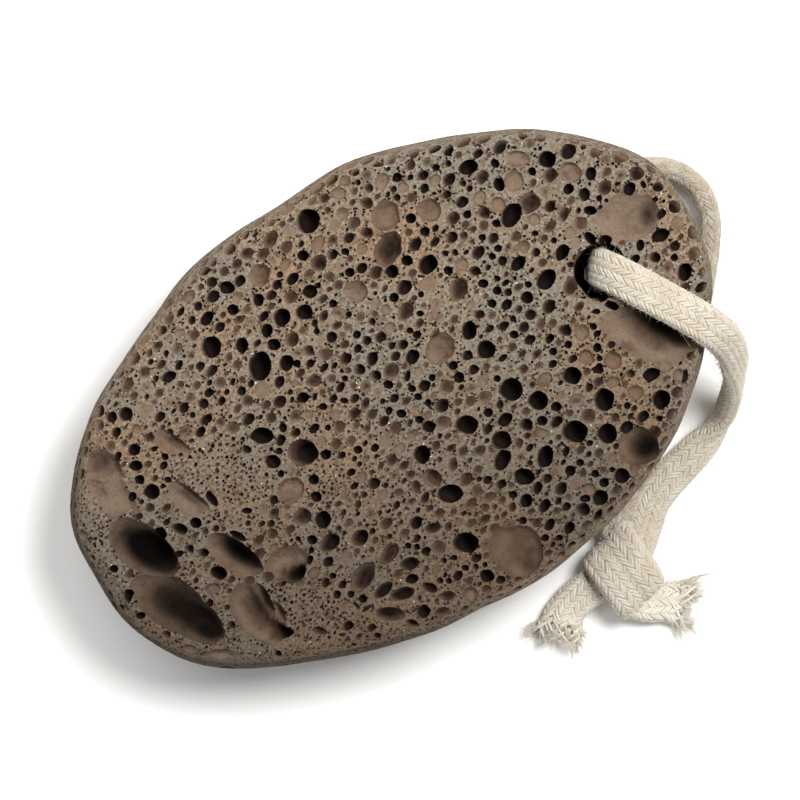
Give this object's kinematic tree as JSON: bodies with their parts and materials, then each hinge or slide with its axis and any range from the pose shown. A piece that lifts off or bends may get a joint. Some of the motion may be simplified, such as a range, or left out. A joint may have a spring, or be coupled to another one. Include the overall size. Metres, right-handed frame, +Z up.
{
  "type": "pumice stone on a cord",
  "caption": "Oval pumice foot stone, cut flat on top and worn round underneath, drilled near one end for a knotted loop of flat cotton cord.",
  "frame": {"origin": "On the surface the stone rests on, under the middle of the stone's own box; the cord isn't counted.", "axes": "+X along the stone's length towards the drilled end, +Y across it, +Z up out of the cut face."},
  "size_m": [0.1097, 0.0862, 0.0302],
  "materials": {
    "pumice": "cut and tumbled vesicular stone, matt, full of open pores",
    "cotton_cord": "soft undyed cotton, flat braid, slightly fuzzy"
  },
  "bodies": {
    "root": {"pumice_stone": "pumice", "cord_front": "cotton_cord", "cord_back": "cotton_cord", "cord_knot": "cotton_cord", "cord_end_left": "cotton_cord", "cord_end_right": "cotton_cord"}
  },
  "joints": []
}
